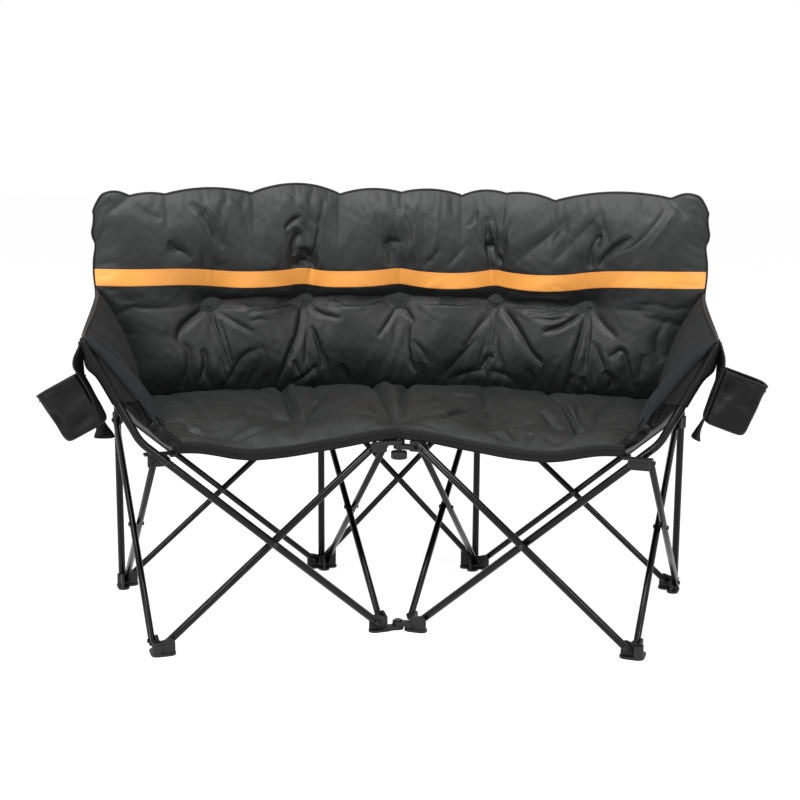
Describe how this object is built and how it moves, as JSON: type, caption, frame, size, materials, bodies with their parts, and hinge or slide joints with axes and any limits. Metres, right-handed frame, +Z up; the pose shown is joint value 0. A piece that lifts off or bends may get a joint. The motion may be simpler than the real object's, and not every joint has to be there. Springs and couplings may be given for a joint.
{
  "type": "folding camping loveseat",
  "caption": "Two-seat folding camp chair: crossed steel tubes on moulded feet, padded fabric seat and high back with a coloured stripe, slung arms with cup pouches.",
  "frame": {"origin": "on the ground, under the middle of the bounding box", "axes": "+X to the right seen from the front, -Y towards the front where the sitters face, +Z up"},
  "size_m": [1.389, 0.7082, 0.916],
  "materials": {
    "powder_coated_tube": "gloss black powder coat",
    "moulded_nylon": "satin moulded nylon",
    "rivet_steel": "blackened steel",
    "padded_cloth": "padded woven polyester with a slight sheen, orange stripe on the back",
    "trim_cloth": "plain woven polyester"
  },
  "bodies": {
    "centre_feet": {"centre_foot_left": "moulded_nylon", "centre_foot_right": "moulded_nylon", "centre_foot_pin": "rivet_steel"},
    "arm_left": {"arm_tube_left": "powder_coated_tube", "front_rivet_left": "rivet_steel", "arm_sleeve_left": "trim_cloth"},
    "front_brace_left": {"front_brace_left": "powder_coated_tube"},
    "front_foot_left": {"front_foot_left": "moulded_nylon"},
    "front_hub_left": {"front_hub_left": "moulded_nylon"},
    "cup_holder_left": {"cup_holder_left": "trim_cloth"},
    "outer_brace_front_left": {"outer_brace_front_left": "powder_coated_tube", "outer_rivet_left": "rivet_steel"},
    "outer_brace_rear_left": {"outer_brace_rear_left": "powder_coated_tube"},
    "outer_rear_foot_left": {"outer_rear_foot_left": "moulded_nylon", "outer_post_left": "powder_coated_tube"},
    "wing_left": {"wing_left": "padded_cloth"},
    "outer_slider_left": {"outer_slider_left": "moulded_nylon"},
    "inner_brace_front_left": {"inner_brace_front_left": "powder_coated_tube", "inner_rivet_left": "rivet_steel"},
    "inner_brace_rear_left": {"inner_brace_rear_left": "powder_coated_tube"},
    "inner_rear_foot_left": {"inner_rear_foot_left": "moulded_nylon", "inner_post_left": "powder_coated_tube", "back_pad": "padded_cloth"},
    "inner_slider_left": {"inner_slider_left": "moulded_nylon"},
    "back_brace_inner_left": {"back_brace_inner_left": "powder_coated_tube", "back_rivet_left": "rivet_steel"},
    "back_brace_outer_left": {"back_brace_outer_left": "powder_coated_tube"},
    "arm_right": {"arm_tube_right": "powder_coated_tube", "front_rivet_right": "rivet_steel", "arm_sleeve_right": "trim_cloth"},
    "front_brace_right": {"front_brace_right": "powder_coated_tube"},
    "front_foot_right": {"front_foot_right": "moulded_nylon"},
    "front_hub_right": {"front_hub_right": "moulded_nylon"},
    "cup_holder_right": {"cup_holder_right": "trim_cloth"},
    "outer_brace_front_right": {"outer_brace_front_right": "powder_coated_tube", "outer_rivet_right": "rivet_steel"},
    "outer_brace_rear_right": {"outer_brace_rear_right": "powder_coated_tube"},
    "outer_rear_foot_right": {"outer_rear_foot_right": "moulded_nylon", "outer_post_right": "powder_coated_tube"},
    "wing_right": {"wing_right": "padded_cloth"},
    "outer_slider_right": {"outer_slider_right": "moulded_nylon"},
    "inner_brace_front_right": {"inner_brace_front_right": "powder_coated_tube", "inner_rivet_right": "rivet_steel"},
    "inner_brace_rear_right": {"inner_brace_rear_right": "powder_coated_tube"},
    "inner_rear_foot_right": {"inner_rear_foot_right": "moulded_nylon", "inner_post_right": "powder_coated_tube"},
    "inner_slider_right": {"inner_slider_right": "moulded_nylon"},
    "back_brace_inner_right": {"back_brace_inner_right": "powder_coated_tube", "back_rivet_right": "rivet_steel"},
    "back_brace_outer_right": {"back_brace_outer_right": "powder_coated_tube"},
    "middle_brace_left": {"middle_brace_left": "powder_coated_tube", "middle_rivet": "rivet_steel"},
    "middle_brace_right": {"middle_brace_right": "powder_coated_tube"},
    "middle_collar_left": {"middle_collar_left": "moulded_nylon"},
    "middle_collar_right": {"middle_collar_right": "moulded_nylon"},
    "centre_hub": {"centre_hub_left": "moulded_nylon", "centre_hub_right": "moulded_nylon"},
    "centre_knob": {"centre_knob": "moulded_nylon"},
    "seat": {"seat_pad": "padded_cloth"}
  },
  "joints": [
    {"name": "fold", "type": "hinge", "parent": "centre_feet", "child": "arm_left", "pos_m": [-0.04902, -0.12288, 0.024], "axis": [-0.3338, 0.9426, 0], "range_deg": [0, 40], "deforming": ["seat_pad", "back_pad", "wing_left", "wing_right", "cup_holder_left", "cup_holder_right"]},
    {"name": "front_rivet_pivot_left", "type": "hinge", "parent": "arm_left", "child": "front_brace_left", "pos_m": [-0.25263, -0.19498, 0.21], "axis": [0.3338, -0.9426, 0], "range_deg": [0, 80]},
    {"name": "front_foot_pivot_left", "type": "hinge", "parent": "front_brace_left", "child": "front_foot_left", "pos_m": [-0.45624, -0.26709, 0.024], "axis": [-0.3338, 0.9426, 0], "range_deg": [0, 40]},
    {"name": "front_hub_pivot_left", "type": "hinge", "parent": "arm_left", "child": "front_hub_left", "pos_m": [-0.45624, -0.26709, 0.396], "axis": [0.3338, -0.9426, 0], "range_deg": [0, 40]},
    {"name": "cup_holder_hang_left", "type": "hinge", "parent": "arm_left", "child": "cup_holder_left", "pos_m": [-0.5993, -0.31774, 0.63533], "axis": [0.3338, -0.9426, 0], "range_deg": [0, 40]},
    {"name": "wing_hang_left", "type": "hinge", "parent": "arm_left", "child": "wing_left", "pos_m": [-0.5993, -0.31774, 0.63533], "axis": [0.3338, -0.9426, 0], "range_deg": [0, 40]},
    {"name": "outer_front_pivot_left", "type": "hinge", "parent": "front_foot_left", "child": "outer_brace_front_left", "pos_m": [-0.48687, -0.25247, 0.024], "axis": [0.9426, 0.3338, 0], "range_deg": [0, 40]},
    {"name": "outer_rivet_pivot_left", "type": "hinge", "parent": "outer_brace_front_left", "child": "outer_brace_rear_left", "pos_m": [-0.55898, -0.04886, 0.21], "axis": [-0.9426, -0.3338, 0], "range_deg": [0, 80]},
    {"name": "outer_rear_foot_pivot_left", "type": "hinge", "parent": "outer_brace_rear_left", "child": "outer_rear_foot_left", "pos_m": [-0.63108, 0.15475, 0.024], "axis": [0.9426, 0.3338, 0], "range_deg": [0, 40]},
    {"name": "outer_slider_pivot_left", "type": "hinge", "parent": "outer_brace_front_left", "child": "outer_slider_left", "pos_m": [-0.63108, 0.15475, 0.396], "axis": [-0.9426, -0.3338, 0], "range_deg": [0, 40]},
    {"name": "inner_front_pivot_left", "type": "hinge", "parent": "centre_feet", "child": "inner_brace_front_left", "pos_m": [-0.0344, -0.09225, 0.024], "axis": [0.9426, 0.3338, 0], "range_deg": [0, 40]},
    {"name": "inner_rivet_pivot_left", "type": "hinge", "parent": "inner_brace_front_left", "child": "inner_brace_rear_left", "pos_m": [-0.10651, 0.11137, 0.21], "axis": [-0.9426, -0.3338, 0], "range_deg": [0, 80]},
    {"name": "inner_rear_foot_pivot_left", "type": "hinge", "parent": "inner_brace_rear_left", "child": "inner_rear_foot_left", "pos_m": [-0.17861, 0.31498, 0.024], "axis": [0.9426, 0.3338, 0], "range_deg": [0, 40]},
    {"name": "inner_slider_pivot_left", "type": "hinge", "parent": "inner_brace_front_left", "child": "inner_slider_left", "pos_m": [-0.17861, 0.31498, 0.396], "axis": [-0.9426, -0.3338, 0], "range_deg": [0, 40]},
    {"name": "back_inner_pivot_left", "type": "hinge", "parent": "inner_rear_foot_left", "child": "back_brace_inner_left", "pos_m": [-0.20924, 0.32959, 0.024], "axis": [-0.3338, 0.9426, 0], "range_deg": [0, 40]},
    {"name": "back_rivet_pivot_left", "type": "hinge", "parent": "back_brace_inner_left", "child": "back_brace_outer_left", "pos_m": [-0.41286, 0.25749, 0.21], "axis": [0.3338, -0.9426, 0], "range_deg": [0, 80]},
    {"name": "arm_foot_pivot_right", "type": "hinge", "parent": "centre_feet", "child": "arm_right", "pos_m": [0.04902, -0.12288, 0.024], "axis": [-0.3338, -0.9426, 0], "range_deg": [0, 40]},
    {"name": "front_rivet_pivot_right", "type": "hinge", "parent": "arm_right", "child": "front_brace_right", "pos_m": [0.25263, -0.19498, 0.21], "axis": [0.3338, 0.9426, 0], "range_deg": [0, 80]},
    {"name": "front_foot_pivot_right", "type": "hinge", "parent": "front_brace_right", "child": "front_foot_right", "pos_m": [0.45624, -0.26709, 0.024], "axis": [-0.3338, -0.9426, 0], "range_deg": [0, 40]},
    {"name": "front_hub_pivot_right", "type": "hinge", "parent": "arm_right", "child": "front_hub_right", "pos_m": [0.45624, -0.26709, 0.396], "axis": [0.3338, 0.9426, 0], "range_deg": [0, 40]},
    {"name": "cup_holder_hang_right", "type": "hinge", "parent": "arm_right", "child": "cup_holder_right", "pos_m": [0.5993, -0.31774, 0.63533], "axis": [0.3338, 0.9426, 0], "range_deg": [0, 40]},
    {"name": "wing_hang_right", "type": "hinge", "parent": "arm_right", "child": "wing_right", "pos_m": [0.5993, -0.31774, 0.63533], "axis": [0.3338, 0.9426, 0], "range_deg": [0, 40]},
    {"name": "outer_front_pivot_right", "type": "hinge", "parent": "front_foot_right", "child": "outer_brace_front_right", "pos_m": [0.48687, -0.25247, 0.024], "axis": [0.9426, -0.3338, 0], "range_deg": [0, 40]},
    {"name": "outer_rivet_pivot_right", "type": "hinge", "parent": "outer_brace_front_right", "child": "outer_brace_rear_right", "pos_m": [0.55898, -0.04886, 0.21], "axis": [-0.9426, 0.3338, 0], "range_deg": [0, 80]},
    {"name": "outer_rear_foot_pivot_right", "type": "hinge", "parent": "outer_brace_rear_right", "child": "outer_rear_foot_right", "pos_m": [0.63108, 0.15475, 0.024], "axis": [0.9426, -0.3338, 0], "range_deg": [0, 40]},
    {"name": "outer_slider_pivot_right", "type": "hinge", "parent": "outer_brace_front_right", "child": "outer_slider_right", "pos_m": [0.63108, 0.15475, 0.396], "axis": [-0.9426, 0.3338, 0], "range_deg": [0, 40]},
    {"name": "inner_front_pivot_right", "type": "hinge", "parent": "centre_feet", "child": "inner_brace_front_right", "pos_m": [0.0344, -0.09225, 0.024], "axis": [0.9426, -0.3338, 0], "range_deg": [0, 40]},
    {"name": "inner_rivet_pivot_right", "type": "hinge", "parent": "inner_brace_front_right", "child": "inner_brace_rear_right", "pos_m": [0.10651, 0.11137, 0.21], "axis": [-0.9426, 0.3338, 0], "range_deg": [0, 80]},
    {"name": "inner_rear_foot_pivot_right", "type": "hinge", "parent": "inner_brace_rear_right", "child": "inner_rear_foot_right", "pos_m": [0.17861, 0.31498, 0.024], "axis": [0.9426, -0.3338, 0], "range_deg": [0, 40]},
    {"name": "inner_slider_pivot_right", "type": "hinge", "parent": "inner_brace_front_right", "child": "inner_slider_right", "pos_m": [0.17861, 0.31498, 0.396], "axis": [-0.9426, 0.3338, 0], "range_deg": [0, 40]},
    {"name": "back_inner_pivot_right", "type": "hinge", "parent": "inner_rear_foot_right", "child": "back_brace_inner_right", "pos_m": [0.20924, 0.32959, 0.024], "axis": [-0.3338, -0.9426, 0], "range_deg": [0, 40]},
    {"name": "back_rivet_pivot_right", "type": "hinge", "parent": "back_brace_inner_right", "child": "back_brace_outer_right", "pos_m": [0.41286, 0.25749, 0.21], "axis": [0.3338, 0.9426, 0], "range_deg": [0, 80]},
    {"name": "middle_left_pivot", "type": "hinge", "parent": "inner_rear_foot_left", "child": "middle_brace_left", "pos_m": [-0.16262, 0.3376, 0.044], "axis": [0, -1, 0], "range_deg": [0, 30.41]},
    {"name": "middle_rivet_pivot", "type": "hinge", "parent": "middle_brace_left", "child": "middle_brace_right", "pos_m": [0, 0.3376, 0.222], "axis": [0, 1, 0], "range_deg": [0, 60.77]},
    {"name": "middle_collar_pivot_right", "type": "hinge", "parent": "middle_brace_left", "child": "middle_collar_right", "pos_m": [0.16262, 0.3376, 0.4], "axis": [0, 1, 0], "range_deg": [0, 30.41]},
    {"name": "middle_collar_pivot_left", "type": "hinge", "parent": "middle_brace_right", "child": "middle_collar_left", "pos_m": [-0.16262, 0.3376, 0.4], "axis": [0, -1, 0], "range_deg": [0, 30.41]},
    {"name": "centre_hub_pivot", "type": "hinge", "parent": "front_brace_left", "child": "centre_hub", "pos_m": [-0.04902, -0.12288, 0.396], "axis": [-0.3338, 0.9426, 0], "range_deg": [0, 40]},
    {"name": "centre_knob_turn", "type": "hinge", "parent": "centre_hub", "child": "centre_knob", "pos_m": [0, -0.10552, 0.376], "axis": [0, 0, 1], "continuous": true},
    {"name": "seat_fold", "type": "hinge", "parent": "centre_hub", "child": "seat", "pos_m": [0, -0.10552, 0.421], "axis": [-1, 0, 0], "range_deg": [0, 76.05]}
  ],
  "couplings": [
    {"joint": "front_rivet_pivot_left", "follows": "fold", "ratio": 2},
    {"joint": "front_foot_pivot_left", "follows": "fold", "ratio": 1},
    {"joint": "front_hub_pivot_left", "follows": "fold", "ratio": 1},
    {"joint": "cup_holder_hang_left", "follows": "fold", "ratio": 1},
    {"joint": "wing_hang_left", "follows": "fold", "ratio": 1},
    {"joint": "outer_front_pivot_left", "follows": "fold", "ratio": 1},
    {"joint": "outer_rivet_pivot_left", "follows": "fold", "ratio": 2},
    {"joint": "outer_rear_foot_pivot_left", "follows": "fold", "ratio": 1},
    {"joint": "outer_slider_pivot_left", "follows": "fold", "ratio": 1},
    {"joint": "inner_front_pivot_left", "follows": "fold", "ratio": 1},
    {"joint": "inner_rivet_pivot_left", "follows": "fold", "ratio": 2},
    {"joint": "inner_rear_foot_pivot_left", "follows": "fold", "ratio": 1},
    {"joint": "inner_slider_pivot_left", "follows": "fold", "ratio": 1},
    {"joint": "back_inner_pivot_left", "follows": "fold", "ratio": 1},
    {"joint": "back_rivet_pivot_left", "follows": "fold", "ratio": 2},
    {"joint": "arm_foot_pivot_right", "follows": "fold", "ratio": 1},
    {"joint": "front_rivet_pivot_right", "follows": "fold", "ratio": 2},
    {"joint": "front_foot_pivot_right", "follows": "fold", "ratio": 1},
    {"joint": "front_hub_pivot_right", "follows": "fold", "ratio": 1},
    {"joint": "cup_holder_hang_right", "follows": "fold", "ratio": 1},
    {"joint": "wing_hang_right", "follows": "fold", "ratio": 1},
    {"joint": "outer_front_pivot_right", "follows": "fold", "ratio": 1},
    {"joint": "outer_rivet_pivot_right", "follows": "fold", "ratio": 2},
    {"joint": "outer_rear_foot_pivot_right", "follows": "fold", "ratio": 1},
    {"joint": "outer_slider_pivot_right", "follows": "fold", "ratio": 1},
    {"joint": "inner_front_pivot_right", "follows": "fold", "ratio": 1},
    {"joint": "inner_rivet_pivot_right", "follows": "fold", "ratio": 2},
    {"joint": "inner_rear_foot_pivot_right", "follows": "fold", "ratio": 1},
    {"joint": "inner_slider_pivot_right", "follows": "fold", "ratio": 1},
    {"joint": "back_inner_pivot_right", "follows": "fold", "ratio": 1},
    {"joint": "back_rivet_pivot_right", "follows": "fold", "ratio": 2},
    {"joint": "middle_left_pivot", "follows": "fold", "ratio": 0.759},
    {"joint": "middle_rivet_pivot", "follows": "fold", "ratio": 1.518},
    {"joint": "middle_collar_pivot_right", "follows": "fold", "ratio": 0.759},
    {"joint": "middle_collar_pivot_left", "follows": "fold", "ratio": 0.759},
    {"joint": "centre_hub_pivot", "follows": "fold", "ratio": 1},
    {"joint": "seat_fold", "follows": "fold", "ratio": 1.9}
  ]
}
